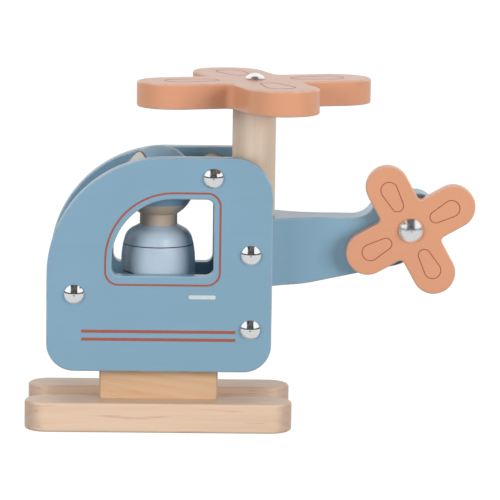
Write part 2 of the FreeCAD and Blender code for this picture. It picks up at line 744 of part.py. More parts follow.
ROTOR_BASE = "(Dims.mast_top + Dims.washer_thickness + Dims.rotor_play)"
ROTOR_CROWN = "(%s + Dims.rotor_thickness + Dims.rotor_play)" % ROTOR_BASE
TAIL_FACE = "(Dims.boom_thickness / 2)"
TAIL_ROTOR_BACK = "(%s + Dims.washer_thickness + Dims.rotor_play)" % TAIL_FACE
TAIL_CROWN = "(%s + Dims.tail_rotor_thickness + Dims.rotor_play)" % TAIL_ROTOR_BACK


def main_rotor_set(rod_cap):
    blades = rotor("main_rotor", "XY_Plane", "Dims.rotor_reach", "Dims.rotor_half_width",
                   "Dims.rotor_notch_radius", "Dims.rotor_thickness",
                   "Dims.rotor_rest_angle", FreeCAD.Vector(0, 0, 1),
                   {"x": "Dims.mast_x", "z": ROTOR_BASE})
    pin = rod("main_rotor_pin", "%s + Dims.rod_overhang - Dims.pin_bottom" % ROTOR_CROWN,
              x="Dims.mast_x", z="Dims.pin_bottom")
    washer_ring = washer("main_rotor_washer", x="Dims.mast_x", z="Dims.mast_top")
    crown = cap("main_rotor_cap", rod_cap, x="Dims.mast_x", z=ROTOR_CROWN)
    return [blades, pin, washer_ring, crown]


def tail_rotor_set(rod_cap, hub_cap):
    hub = {"x": "Dims.tail_hub_x", "z": "Dims.tail_hub_height"}
    blades = rotor("tail_rotor", "XZ_Plane", "Dims.tail_rotor_reach",
                   "Dims.tail_rotor_half_width", "Dims.tail_rotor_notch_radius",
                   "Dims.tail_rotor_thickness", "Dims.tail_rotor_rest_angle",
                   FreeCAD.Vector(0, -1, 0), dict(hub, y="-" + TAIL_ROTOR_BACK))
    axle = rod("tail_rotor_axle", "%s + %s + 2 * Dims.rod_overhang" % (TAIL_CROWN, TAIL_FACE),
               turn=FACE_LEFT, y="%s + Dims.rod_overhang" % TAIL_FACE, **hub)
    washer_ring = washer("tail_rotor_washer", FACE_LEFT, y="-" + TAIL_FACE, **hub)
    front = cap("tail_rotor_cap", hub_cap, FACE_LEFT, y="-" + TAIL_CROWN, **hub)
    back = cap("tail_rotor_back_cap", rod_cap, FACE_RIGHT, y=TAIL_FACE, **hub)
    return [blades, axle, washer_ring, front, back]


# ---------------------------------------------------------------- pilot

def pilot_figure():
    """A turned peg: a bell-shaped body, a short neck and a ball head."""
    body = new_body("pilot_figure")
    profile = new_sketch(body, "pilot_profile", "XZ_Plane")
    draw_outline(profile, (
        ("0", "0", None),
        ("Dims.pilot_base_radius", "0", "Dims.pilot_base_round"),
        ("Dims.pilot_base_radius", "Dims.pilot_flank_height", "Dims.pilot_flank_radius"),
        ("Dims.pilot_shoulder_reach", "Dims.pilot_shoulder_height", "Dims.pilot_shoulder_radius"),
        ("Dims.pilot_neck_radius", "Dims.pilot_collar_height", None),
        ("Dims.pilot_neck_radius", "Dims.pilot_neck_top", None),
        ("0", "Dims.pilot_neck_top", None),
    ))
    turned = body.newObject("PartDesign::Revolution", "pilot_turning")
    turned.Profile = (profile, [""])
    turned.ReferenceAxis = (profile, ["V_Axis"])
    turned.Angle = 360
    DOC.recompute()
    head = body.newObject("PartDesign::AdditiveSphere", "pilot_head")
    bind(head, Radius="Dims.pilot_head_radius",
         AttachmentOffset__Base__z="Dims.pilot_head_height",
         Placement__Base__z="Dims.pilot_head_height")
    DOC.recompute()
    place(body, x="Dims.pilot_x", z="Dims.floor_top")
    return body


# ---------------------------------------------------------------- the whole helicopter

def build():
    rod_cap = dome_profile("rod_cap_profile", "Dims.cap_radius", "Dims.cap_height")
    hub_cap = dome_profile("hub_cap_profile", "Dims.hub_cap_radius", "Dims.hub_cap_height")
    nodes = [
        side_panel("side_panel_left", "-Dims.cabin_gap / 2"),
        side_panel("side_panel_right", "Dims.cabin_gap / 2 + Dims.panel_thickness"),
        spacer("nose_spacer", "Dims.nose_rod_x", "Dims.nose_rod_height"),
        spacer("roof_spacer", "Dims.roof_rod_x", "Dims.roof_rod_height"),
        floor_block(),
        pedestal_block(),
        skid("skid_left", "-"),
        skid("skid_right", "+"),
        tail_boom(),
        rotor_mast(),
        pilot_figure(),
        skid_screws(),
        pedestal_dowels(),
    ]
    nodes += rods_and_caps(rod_cap)
    nodes += main_rotor_set(rod_cap)
    nodes += tail_rotor_set(rod_cap, hub_cap)
    DOC.recompute()
    return nodes


def check(nodes):
    for item in DOC.Objects:
        if "Invalid" in item.State or "Error" in item.State:
            raise RuntimeError("%s did not recompute: %s" % (item.Name, item.State))
    for node in nodes:
        if node.Shape.isNull() or not node.Shape.isValid() or not node.Shape.Solids:
            raise RuntimeError("%s has no valid solid" % node.Label)


def export(nodes):
    os.makedirs("parts", exist_ok=True)
    for node in nodes:
        node.Shape.exportStep("parts/%s.step" % node.Label)


NODES = build()
check(NODES)
export(NODES)
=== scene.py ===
"""The looks of a wooden toy helicopter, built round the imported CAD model.

Metres, +Z up, nose towards -X, tail towards +X; the left side, which the camera sees, is -Y.
The CAD nodes stay as they are and get procedural materials.  What is printed or painted on
them (window lines, stripes, blade outlines, the pilot's trim) is added as thin raised ink.
"""
import json
import math

import bmesh
import bpy
from mathutils import Matrix, Vector
from mathutils.bvhtree import BVHTree


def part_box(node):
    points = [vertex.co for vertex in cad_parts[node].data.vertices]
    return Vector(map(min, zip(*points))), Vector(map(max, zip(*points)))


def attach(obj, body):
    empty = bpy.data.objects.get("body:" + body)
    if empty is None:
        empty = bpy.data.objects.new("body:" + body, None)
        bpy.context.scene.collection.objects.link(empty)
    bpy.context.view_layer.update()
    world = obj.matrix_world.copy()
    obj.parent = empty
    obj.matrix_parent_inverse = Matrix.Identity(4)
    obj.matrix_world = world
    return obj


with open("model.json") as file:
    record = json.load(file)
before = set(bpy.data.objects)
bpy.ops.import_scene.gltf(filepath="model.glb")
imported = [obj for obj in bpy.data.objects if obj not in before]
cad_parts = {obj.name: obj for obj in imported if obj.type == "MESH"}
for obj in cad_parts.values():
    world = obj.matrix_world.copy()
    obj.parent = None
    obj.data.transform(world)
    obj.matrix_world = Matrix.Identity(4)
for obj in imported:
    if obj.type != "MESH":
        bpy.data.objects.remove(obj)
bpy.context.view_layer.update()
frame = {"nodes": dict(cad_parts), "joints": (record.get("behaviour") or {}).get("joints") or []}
NODES = frame["nodes"]
MM = 0.001


# ---------------------------------------------------------------- places, from the frame

LEFT_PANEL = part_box("side_panel_left")
RIGHT_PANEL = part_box("side_panel_right")
CABIN_X = (LEFT_PANEL[0].x + LEFT_PANEL[1].x) / 2
LEFT_FACE = LEFT_PANEL[0].y
RIGHT_FACE = RIGHT_PANEL[1].y
PILOT_LOW, PILOT_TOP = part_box("pilot_figure")
PILOT_X = (PILOT_LOW.x + PILOT_TOP.x) / 2
HEAD_RADIUS = 18.6 * MM
HEAD = Vector((PILOT_X, 0.0, PILOT_TOP.z - HEAD_RADIUS))
PILOT_MESH = NODES["pilot_figure"].data
PILOT_SKIN = BVHTree.FromPolygons([v.co for v in PILOT_MESH.vertices],
                                  [f.vertices for f in PILOT_MESH.polygons])
MAIN_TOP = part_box("main_rotor")[1].z
TAIL_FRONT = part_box("tail_rotor")[0].y
HUB = {joint["name"]: Vector(joint["pos_m"]) for joint in frame["joints"] if "pos_m" in joint}

INK_HEIGHT = 0.06 * MM     # how far printed ink stands proud
INK_ROOT = 0.03 * MM       # and how far it reaches into what it is printed on


# ---------------------------------------------------------------- shader graphs

# A Mix node's sockets for factor, A and B, and its result, in its colour and float modes.
MIX_SOCKETS = {"RGBA": ((0, 6, 7), 2), "FLOAT": ((0, 2, 3), 0)}


class Graph:
    """The node tree of a material or a world, with short names for the nodes used here."""

    def __init__(self, owner):
        owner.use_nodes = True
        self.owner = owner
        self.tree = owner.node_tree
        self.tree.nodes.clear()

    def node(self, kind, inputs=(), **settings):
        made = self.tree.nodes.new("ShaderNode" + kind)
        for key, value in settings.items():
            setattr(made, key, value)
        for key, value in dict(inputs).items():
            self.feed(made.inputs[key], value)
        return made

    def feed(self, socket, value):
        if isinstance(value, bpy.types.NodeSocket):
            self.tree.links.new(value, socket)
        else:
            socket.default_value = value

    def point(self, scale=(1, 1, 1), turn=(0, 0, 0), shift=(0, 0, 0)):
        """The place in the piece's own frame, in metres, moved, turned and then scaled."""
        here = self.node("TexCoord").outputs["Object"]
        turned = self.node("Mapping", {"Vector": here, "Location": shift, "Rotation": turn})
        return self.node("Mapping", {"Vector": turned.outputs[0], "Scale": scale}).outputs[0]

    def noise(self, where, scale, detail=3.0, roughness=0.5, result="Fac"):
        made = self.node("TexNoise", {"Vector": where, "Scale": scale, "Detail": detail,
                                      "Roughness": roughness})
        return made.outputs[result]

    def maths(self, operation, first, second=0.0):
        made = self.node("Math", operation=operation)
        self.feed(made.inputs[0], first)
        self.feed(made.inputs[1], second)
        return made.outputs[0]

    def vector(self, operation, first, second=None):
        made = self.node("VectorMath", operation=operation)
        self.feed(made.inputs[0], first)
        if second is not None:
            self.feed(made.inputs["Scale" if operation == "SCALE" else 1], second)
        return made.outputs["Value" if operation in ("LENGTH", "DOT_PRODUCT") else "Vector"]

    def remap(self, value, low, high, to_low=0.0, to_high=1.0, smooth=False):
        made = self.node("MapRange", {"Value": value, "From Min": low, "From Max": high,
                                      "To Min": to_low, "To Max": to_high})
        if smooth:
            made.interpolation_type = "SMOOTHSTEP"
        return made.outputs["Result"]

    def mix(self, amount, first, second, kind="RGBA"):
        made = self.node("Mix", data_type=kind)
        sockets, result = MIX_SOCKETS[kind]
        for socket, value in zip(sockets, (amount, first, second)):
            self.feed(made.inputs[socket], value)
        return made.outputs[result]

    def parts(self, vector):
        return self.node("SeparateXYZ", {"Vector": vector}).outputs

    def facing(self, axis):
        """How squarely the surface looks along an axis, either way: 0 to 1."""
        normal = self.node("NewGeometry").outputs["Normal"]
        return self.maths("ABSOLUTE", self.parts(normal)[axis])

    def bump(self, height, distance, under=None):
        made = self.node("Bump", {"Height": height, "Strength": 1.0, "Distance": distance})
        if under is not None:
            self.feed(made.inputs["Normal"], under)
        return made.outputs["Normal"]

    def finish(self, **inputs):
        """Wire up the surface; an underscore in a name stands for a space."""
        named = {key.replace("_", " "): value for key, value in inputs.items()}
        surface = self.node("BsdfPrincipled", named)
        self.node("OutputMaterial", {"Surface": surface.outputs["BSDF"]})
        return self.owner


def material_graph(name):
    return Graph(bpy.data.materials.new(name))


def shade(red, green, blue):
    """An sRGB colour, 0 to 255, as the linear RGBA that shaders take."""
    def linear(level):
        level /= 255.0
        return level / 12.92 if level <= 0.04045 else ((level + 0.055) / 1.055) ** 2.4
    return (linear(red), linear(green), linear(blue), 1.0)


def scaled(colour, factor):
    return tuple(level * factor for level in colour[:3]) + (1.0,)


def blended(first, second, share):
    return tuple((1 - share) * a + share * b for a, b in zip(first, second))


# ---------------------------------------------------------------- materials

# Noise scales are in cycles per metre, and a low one runs along the grain.
BOARD_GRAIN = (16.0, 260.0, 260.0)
PINE_FIBRE = (26.0, 1500.0, 1500.0)
PALE_EDGE_WEAR_AND_HIGHLIGHT = (0.74, 0.70, 0.66, 1)     # paler edge tone: bare wood where paint is rubbed thin, and a painted highlight on the rounded edges
END_GRAIN_GREY = shade(176, 150, 142)
BLUSH = shade(226, 140, 118)


def satin_paint(name, colour, board_axis, bent=False):
    """Sprayed satin paint over sanded board: faint grain, orange peel and paler edges, partly
    rubbed paint and partly a painted highlight.

    board_axis (0, 1 or 2) is the direction across the board, which its two faces look along.
    A bent board has curved faces too, so only its upper and lower edges count as edges.
    """
    g = material_graph(name)
    grain = g.noise(g.point(scale=BOARD_GRAIN), 1.0, detail=4.0, roughness=0.6)
    cloud = g.noise(g.point(), 18.0, detail=2.0)
    peel = g.noise(g.point(), 1500.0, detail=2.0)
    speck = g.noise(g.point(), 5200.0, detail=1.0)

    across = g.facing(board_axis)
    rising = g.remap(across, 0.08, 0.45, smooth=True)
    falling = g.remap(across, 0.80, 0.97, 1.0, 0.0, smooth=True)
    on_edge = g.maths("MULTIPLY", rising, falling)
    if bent:
        upright = g.remap(g.facing(2), 0.12, 0.40, smooth=True)
        on_edge = g.maths("MULTIPLY", on_edge, upright)
    # Paler rounded edges all round: partly paint rubbed thin, partly a painted highlight where the
    # edges catch light.
    edge_patchiness = g.remap(g.noise(g.point(), 160.0, detail=4.0), 0.36, 0.66, 0.35, 1.0)
    edge_wear_and_highlight = g.maths("MULTIPLY", on_edge, edge_patchiness)

    tone = g.mix(g.remap(cloud, 0.3, 0.7), scaled(colour, 0.975), scaled(colour, 1.025))
    tone = g.mix(g.remap(grain, 0.46, 0.74, 0.0, 0.16), tone, scaled(colour, 0.86))
    tone = g.mix(g.remap(speck, 0.62, 0.74, 0.0, 0.22), tone, scaled(colour, 1.12))
    pale = blended(colour, PALE_EDGE_WEAR_AND_HIGHLIGHT, 0.45)
    tone = g.mix(g.maths("MULTIPLY", edge_wear_and_highlight, 0.70), tone, pale)

    dull = g.remap(cloud, 0.3, 0.7, 0.31, 0.38)
    dull = g.maths("ADD", dull, g.remap(grain, 0.4, 0.7, 0.0, 0.05))
    relief = g.bump(peel, 0.010 * MM)
    relief = g.bump(grain, 0.030 * MM, relief)
    return g.finish(Base_Color=tone, Roughness=dull, Normal=relief, IOR=1.50,
                    Coat_Weight=0.30, Coat_Roughness=0.22)


def pine(name, pale, dark, streak, slope=0.0, centre=(0.0, -0.010, -0.055), ring=3.6 * MM,
         contrast=1.0, streaks=1.0):
    """Planed softwood with its grain along X: growth rings about an axis below the board.

    The rings show as long lines on the sides and as arcs on the ends.  slope tilts the grain.
    """
    g = material_graph(name)
    tilt = (0.0, slope, 0.0)
    here = g.point(turn=tilt, shift=centre, scale=(0.05, 1.0, 1.0))
    drift = g.noise(g.point(scale=(7.0, 24.0, 24.0)), 1.0, result="Color")
    sway = g.vector("SCALE", g.vector("SUBTRACT", drift, (0.5, 0.5, 0.5)), 16 * MM)
    radius = g.vector("LENGTH", g.vector("ADD", here, sway))
    phase = g.maths("FRACT", g.maths("DIVIDE", radius, ring))
    late = g.maths("MULTIPLY", g.remap(phase, 0.15, 0.86, smooth=True),
                   g.remap(phase, 0.86, 1.0, 1.0, 0.0, smooth=True))
    patchy = g.remap(g.noise(g.point(scale=(11.0, 60.0, 60.0)), 1.0, detail=2.0), 0.35, 0.65)
    late = g.maths("MULTIPLY", late, g.maths("ADD", 0.35, g.maths("MULTIPLY", patchy, 0.65)))

    fibre = g.noise(g.point(turn=tilt, scale=PINE_FIBRE), 1.0, roughness=0.7)
    broad = g.noise(g.point(turn=tilt, scale=(7.0, 48.0, 48.0)), 1.0, detail=2.0)
    rare = g.noise(g.point(turn=tilt, scale=(22.0, 330.0, 430.0), shift=(3.17, 0.4, 0.95)), 1.0,
                   detail=3.0, roughness=0.55)

    tone = g.mix(g.remap(broad, 0.30, 0.72), scaled(pale, 1.03), scaled(pale, 0.92))
    tone = g.mix(g.maths("MULTIPLY", late, 0.40 * contrast), tone, dark)
    tone = g.mix(g.remap(rare, 0.60, 0.70, 0.0, 0.62 * streaks), tone, streak)
    tone = g.mix(g.remap(fibre, 0.35, 0.75, 0.0, 0.22), tone, scaled(dark, 0.94))

    endwise = g.remap(g.facing(0), 0.15, 0.85, smooth=True)
    grey = blended(scaled(pale, 0.74), END_GRAIN_GREY, 0.5)
    end_tone = g.mix(g.maths("MULTIPLY", late, 0.5), grey, scaled(dark, 0.66))
    tone = g.mix(g.maths("MULTIPLY", endwise, 0.72), tone, end_tone)

    dull = g.maths("ADD", g.remap(late, 0.0, 1.0, 0.50, 0.42),
                   g.remap(fibre, 0.3, 0.7, 0.0, 0.08))
    relief = g.bump(fibre, 0.028 * MM)
    relief = g.bump(late, 0.018 * MM, relief)
    return g.finish(Base_Color=tone, Roughness=dull, Normal=relief, IOR=1.50,
                    Coat_Weight=0.25, Coat_Roughness=0.25)


def birch_dowel(name, pale, dark, along):
    """A turned birch rod whose fine grain runs along an axis: 1 for Y, 2 for Z."""
    g = material_graph(name)

    def run(across, lengthways):
        stretch = [across] * 3
        stretch[along] = lengthways
        return g.point(scale=stretch)

    fibre = g.noise(run(1300.0, 26.0), 1.0, detail=3.0, roughness=0.7)
    band = g.noise(run(150.0, 5.0), 1.0, detail=3.0)
    fleck = g.noise(run(900.0, 120.0), 1.0, detail=1.0)
    tone = g.mix(g.remap(band, 0.32, 0.70), pale, dark)
    tone = g.mix(g.remap(fibre, 0.38, 0.76, 0.0, 0.24), tone, scaled(dark, 0.88))
    tone = g.mix(g.remap(fleck, 0.66, 0.78, 0.0, 0.30), tone, scaled(dark, 0.76))
    endwise = g.remap(g.facing(along), 0.6, 0.95)
    tone = g.mix(g.maths("MULTIPLY", endwise, 0.4), tone, scaled(dark, 0.74))
    dull = g.remap(fibre, 0.3, 0.7, 0.42, 0.52)
    relief = g.bump(fibre, 0.020 * MM)
    return g.finish(Base_Color=tone, Roughness=dull, Normal=relief, IOR=1.50)


def chrome(name, polish):
    """Bright pressed steel with hairline handling marks; polish is its lowest roughness."""
    g = material_graph(name)
    wave = g.noise(g.point(), 420.0, detail=2.0)
    hair = g.noise(g.point(scale=(2600.0, 900.0, 5200.0), turn=(0.3, 0.2, 0.6)), 1.0, detail=2.0)
    smear = g.noise(g.point(), 700.0, detail=2.0)
    tone = g.mix(g.remap(smear, 0.35, 0.7), (0.94, 0.95, 0.96, 1), (0.86, 0.875, 0.89, 1))
    dull = g.maths("ADD", g.remap(smear, 0.4, 0.7, polish, polish + 0.05),
                   g.remap(hair, 0.6, 0.8, 0.0, 0.10))
    relief = g.bump(wave, 0.010 * MM)
    return g.finish(Base_Color=tone, Metallic=1.0, Roughness=dull, Normal=relief)


def drawn_steel(name):
    """Plain zinc-grey steel with fine lines round it."""
    g = material_graph(name)
    line = g.noise(g.point(scale=(3500.0, 500.0, 3500.0)), 1.0, detail=2.0)
    stain = g.noise(g.point(), 240.0, detail=3.0)
    tone = g.mix(g.remap(stain, 0.35, 0.7), (0.56, 0.57, 0.58, 1), (0.44, 0.45, 0.46, 1))
    dull = g.maths("ADD", g.remap(line, 0.3, 0.7, 0.24, 0.36), g.remap(stain, 0.4, 0.7, 0, 0.08))
    return g.finish(Base_Color=tone, Metallic=1.0, Roughness=dull,
                    Normal=g.bump(line, 0.006 * MM))


def pilot_finish(name, suit, cap, pale, dark):
    """A turned peg: painted suit and cap over bare wood, with rosy cheeks on the bare face."""
    g = material_graph(name)
    here = g.point()
    height = g.parts(here)[2]
    from_head = g.vector("NORMALIZE", g.vector("SUBTRACT", here, tuple(HEAD)))
    facing = g.vector("DOT_PRODUCT", from_head, tuple(FACE_AXIS))
    hand = g.noise(g.point(), 300.0, detail=2.0)
    sloppy = g.remap(hand, 0.3, 0.7, -BRUSH_WANDER, BRUSH_WANDER)
    level = g.maths("ADD", height, sloppy)

    in_suit = g.remap(level, COLLAR - BRUSH_EDGE, COLLAR + BRUSH_EDGE, 1.0, 0.0)
    above_edge = g.remap(level, CAP_EDGE - BRUSH_EDGE, CAP_EDGE + BRUSH_EDGE)
    rim = math.cos(FACE_HALF_ANGLE)
    off_face = g.remap(facing, rim - 0.006, rim + 0.006, 1.0, 0.0)
    in_cap = g.maths("MULTIPLY", above_edge, off_face)

    rings = g.noise(g.point(scale=(150.0, 150.0, 11.0)), 1.0, detail=3.0)
    fibre = g.noise(g.point(scale=(1300.0, 1300.0, 60.0)), 1.0, detail=3.0, roughness=0.7)
    tone = g.mix(g.remap(rings, 0.32, 0.7), pale, dark)
    tone = g.mix(g.remap(fibre, 0.38, 0.76, 0.0, 0.22), tone, scaled(dark, 0.86))
    for side in SIDES:
        towards = face_direction(side * CHEEK["round"], CHEEK["up"])
        nearness = g.vector("DOT_PRODUCT", from_head, tuple(towards))
        outer, inner = (math.cos(math.radians(angle)) for angle in CHEEK["fade"])
        blush = g.remap(nearness, outer, inner, 0.0, 0.5, smooth=True)
        tone = g.mix(blush, tone, BLUSH)

    coat = g.noise(g.point(), 900.0, detail=2.0)
    cloud = g.noise(g.point(), 60.0, detail=2.0)
    painted = g.maths("MAXIMUM", in_suit, in_cap)
    for mask, colour in ((in_suit, suit), (in_cap, cap)):
        film = g.mix(g.remap(cloud, 0.3, 0.7), scaled(colour, 0.97), scaled(colour, 1.03))
        tone = g.mix(mask, tone, film)
    dull = g.mix(painted, (0.55, 0.55, 0.55, 1), (0.34, 0.34, 0.34, 1))
    relief = g.bump(coat, 0.008 * MM)
    relief = g.bump(fibre, 0.014 * MM, relief)
    return g.finish(Base_Color=tone, Roughness=dull, Normal=relief, IOR=1.47)


def printed_ink(name, colour):
    """Screen-printed ink: slightly uneven film with a fine mesh texture."""
    g = material_graph(name)
    cover = g.noise(g.point(), 1400.0, detail=3.0)
    mesh = g.noise(g.point(), 4200.0, detail=1.0)
    tone = g.mix(g.remap(cover, 0.32, 0.72), scaled(colour, 1.06), scaled(colour, 0.90))
    dull = g.remap(cover, 0.3, 0.7, 0.44, 0.56)
    return g.finish(Base_Color=tone, Roughness=dull, Normal=g.bump(mesh, 0.004 * MM))


# ---------------------------------------------------------------- the pilot's measures

SIDES = (-1, 1)                     # the pilot's two sides: -Y, then +Y
FACE_HALF_ANGLE = math.radians(38)
FACE_AXIS = Vector((-1.0, 0.0, -0.10)).normalized()
CHEEK = {"round": 24.0, "up": -12.0, "fade": (12, 4)}
COLLAR = PILOT_LOW.z + 41.8 * MM    # where the painted shoulder meets the bare neck
CAP_EDGE = HEAD.z - 10.7 * MM       # the lower edge of the painted cap
BRUSH_WANDER = 0.12 * MM            # how far a painted edge strays
BRUSH_EDGE = 0.10 * MM              # and half the width over which it fades


def face_direction(round_degrees, up_degrees):
    """A direction from the head's centre; 0, 0 looks at the nose of the helicopter."""
    turn, rise = math.radians(round_degrees), math.radians(up_degrees)
    flat = math.cos(rise)
    return Vector((-math.cos(turn) * flat, math.sin(turn) * flat, math.sin(rise)))


# ---------------------------------------------------------------- what each CAD node is made of

BLUE = shade(128, 164, 186)
ORANGE = shade(217, 154, 119)
RUST = shade(160, 91, 76)

BIRCH_SPACER = birch_dowel("spacer_birch", shade(208, 197, 185), shade(194, 179, 162), along=1)
BIRCH_MAST = birch_dowel("mast_birch", shade(221, 203, 185), shade(208, 187, 167), along=2)
BOARD_PAINT = satin_paint("blue_board_paint", BLUE, board_axis=1)
SKID_PINE = pine("skid_pine", shade(228, 200, 174), shade(212, 172, 142), shade(182, 116, 86),
                 ring=4.4 * MM, contrast=0.8)
BLOCK_PINE = pine("block_pine", shade(212, 178, 146), shade(198, 152, 102), shade(178, 124, 84),
                  slope=math.radians(-10), centre=(0.0, 0.008, 0.030), ring=5.6 * MM,
                  contrast=1.25, streaks=0.4)
CHROME = chrome("bright_cap", polish=0.05)
SOFT_CHROME = chrome("hub_cap", polish=0.24)
STEEL = drawn_steel("drawn_steel")
RUST_INK = printed_ink("rust_ink", RUST)
RIM_INK = printed_ink("rim_ink", shade(126, 78, 74))
CREAM_INK = printed_ink("cream_ink", shade(209, 217, 217))
LENS_INK = printed_ink("lens_ink", shade(206, 209, 200))
DARK_INK = printed_ink("dark_ink", shade(66, 56, 62))

FINISH = {
    "side_panel_left": BOARD_PAINT,
    "side_panel_right": BOARD_PAINT,
    "tail_boom": satin_paint("blue_boom_paint", BLUE, board_axis=1, bent=True),
    "main_rotor": satin_paint("orange_rotor_paint", ORANGE, board_axis=2),
    "tail_rotor": satin_paint("orange_tail_paint", ORANGE, board_axis=1),
    "skid_left": SKID_PINE,
    "skid_right": SKID_PINE,
    "pedestal_block": BLOCK_PINE,
    "floor_block": BLOCK_PINE,
    "nose_spacer": BIRCH_SPACER,
    "roof_spacer": BIRCH_SPACER,
    "rotor_mast": BIRCH_MAST,
    "pedestal_dowels": BIRCH_MAST,
    "side_caps_left": CHROME,
    "side_caps_right": CHROME,
    "tail_rotor_back_cap": CHROME,
    "main_rotor_cap": SOFT_CHROME,
    "tail_rotor_cap": SOFT_CHROME,
    "cross_rods": STEEL,
    "skid_screws": STEEL,
    "main_rotor_pin": STEEL,
    "main_rotor_washer": STEEL,
    "tail_rotor_axle": STEEL,
    "tail_rotor_washer": STEEL,
    "pilot_figure": pilot_finish("pilot_coat", suit=shade(178, 195, 209), cap=BLUE,
                                 pale=shade(210, 193, 179), dark=shade(194, 171, 148)),
}

for name, thing in NODES.items():
    for held in thing.material_slots:
        held.material = FINISH[name]


# ---------------------------------------------------------------- thin printed solids

def new_piece(name, build, material, body):
    """Make a mesh piece from build(bmesh), that rides on a body."""
    work = bmesh.new()
    build(work)
    bmesh.ops.recalc_face_normals(work, faces=work.faces)
    mesh = bpy.data.meshes.new(name)
    work.to_mesh(mesh)
    work.free()
    mesh.materials.append(material)
    piece = bpy.data.objects.new(name, mesh)
    bpy.context.scene.collection.objects.link(piece)
    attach(piece, body)


def pairs(things):
    """Each thing with the next one, and the last with the first."""
    return list(zip(things, things[1:] + things[:1]))


def add_skin(work, rows):
    """Faces between neighbouring rows of corners, each row being a closed loop."""
    for here, there in rows:
        for (a, b), (c, d) in zip(pairs(here), pairs(there)):
            work.faces.new((a, b, d, c))


def corner_rows(work, sections):
    return [[work.verts.new(corner) for corner in section] for section in sections]


def add_tube(work, sections):
    """Skin a closed run of four-cornered sections into one ring-shaped solid."""
    add_skin(work, pairs(corner_rows(work, sections)))


def add_strip(work, sections):
    """Skin an open run of four-cornered sections and cap both ends."""
    rows = corner_rows(work, sections)
    add_skin(work, zip(rows, rows[1:]))
    work.faces.new(rows[0])
    work.faces.new(rows[-1])


def add_slab(work, low, high):
    """Close two matching loops of points, one under the other, into a flat solid."""
    add_strip(work, (low, high))


def arc_points(centre, radius, start, end, steps):
    """Points along an arc, each with its outward direction; angles are in degrees."""
    made = []
    for i in range(steps + 1):
        angle = math.radians(start + (end - start) * i / steps)
        out = Vector((math.cos(angle), math.sin(angle)))
        made.append((Vector(centre) + out * radius, out))
    return made


def window_loop(front, rear, low, high, nose_radius, corner_radius):
    """The window's shape: three small corners and one big arc towards the nose and roof."""
    r, big = corner_radius, nose_radius
    return (arc_points((rear - r, low + r), r, -90, 0, 14)
            + arc_points((rear - r, high - r), r, 0, 90, 14)
            + arc_points((front + big, high - big), big, 90, 180, 48)
            + arc_points((front + r, low + r), r, 180, 270, 14))


def blade_loop(tip_centre, tip_radius, root_centre, root_radius):
    """A drop-shaped loop along +X: two circles and the straight lines that touch both."""
    lean = math.degrees(math.asin((tip_radius - root_radius) / (tip_centre - root_centre)))
    return (arc_points((tip_centre, 0), tip_radius, -90 - lean, 90 + lean, 36)
            + arc_points((root_centre, 0), root_radius, 90 + lean, 270 - lean, 28))


def line_sections(loop, width, at):
    """Sections of a printed line of a width about a loop; at(point, height) places them."""
    sections = []
    for point, out in loop:
        inner, outer = point - out * width / 2, point + out * width / 2
        sections.append((at(inner, -INK_ROOT), at(outer, -INK_ROOT),
                         at(outer, INK_HEIGHT), at(inner, INK_HEIGHT)))
    return sections


def print_line(name, loops, width, at, material, body):
    """A piece of printed lines about some loops."""
    def build(work):
        for loop in loops:
            add_tube(work, line_sections(loop, width, at))
    new_piece(name, build, material, body)


def print_patches(name, outlines, at, material, body):
    """A piece of printed patches inside some outlines."""
    def build(work):
        for outline in outlines:
            add_slab(work, [at(p, -INK_ROOT) for p in outline],
                     [at(p, INK_HEIGHT) for p in outline])
    new_piece(name, build, material, body)


def bar(x0, x1, middle, thickness, end_radius=0.0, steps=8):
    """The outline of a level bar with square or rounded ends."""
    z0, z1 = middle - thickness / 2, middle + thickness / 2
    r = end_radius
    if not r:
        return [Vector(p) for p in ((x0, z0), (x1, z0), (x1, z1), (x0, z1))]
    corners = ((x1 - r, z0 + r, -90), (x1 - r, z1 - r, 0),
               (x0 + r, z1 - r, 90), (x0 + r, z0 + r, 180))
    return [point for x, z, start in corners
            for point, out in arc_points((x, z), r, start, start + 90, steps)]


# ---------------------------------------------------------------- side panel prints

# Lengths along X are from the cabin's middle, and heights are from the floor.
WINDOW = {"front": -24.0 * MM, "rear": 27.1 * MM, "low": 79.0 * MM, "high": 117.9 * MM,
          "nose_radius": 31.2 * MM}
WINDOW_LINE = {"gap": 3.2 * MM, "sill_gap": 4.5 * MM, "width": 1.0 * MM, "corner": 6.6 * MM}
STRIPES = {"ends": (-39.0 * MM, 38.5 * MM), "heights": (50.75 * MM, 46.7 * MM),
           "width": 1.55 * MM}
HANDLE = {"ends": (14.8 * MM, 28.4 * MM), "height": 68.5 * MM, "width": 2.0 * MM}
HANDLE_ROUNDING = 0.45               # end radius over width


def on_panel(face, outward):
    """Places a point of a panel, in X from the cabin's middle and Z, on an outer face."""
    def at(point, height):
        return Vector((CABIN_X + point[0], face + outward * height, point[1]))
    return at


def panel_prints(side, face, outward):
    """The line round the window, the two door stripes and the door handle of one panel."""
    at = on_panel(face, outward)
    gap = WINDOW_LINE["gap"]
    outline = window_loop(WINDOW["front"] - gap, WINDOW["rear"] + gap,
                          WINDOW["low"] - WINDOW_LINE["sill_gap"], WINDOW["high"] + gap,
                          WINDOW["nose_radius"] + gap, WINDOW_LINE["corner"])
    print_line("window_line_" + side, [outline], WINDOW_LINE["width"], at, RUST_INK,
               "airframe")
    bars = [bar(*STRIPES["ends"], height, STRIPES["width"]) for height in STRIPES["heights"]]
    print_patches("door_stripes_" + side, bars, at, RUST_INK, "airframe")
    handle = bar(*HANDLE["ends"], HANDLE["height"], HANDLE["width"],
                 HANDLE["width"] * HANDLE_ROUNDING)
    print_patches("door_handle_" + side, [handle], at, CREAM_INK, "airframe")


panel_prints("left", LEFT_FACE, -1)
panel_prints("right", RIGHT_FACE, 1)


# ---------------------------------------------------------------- rotor prints

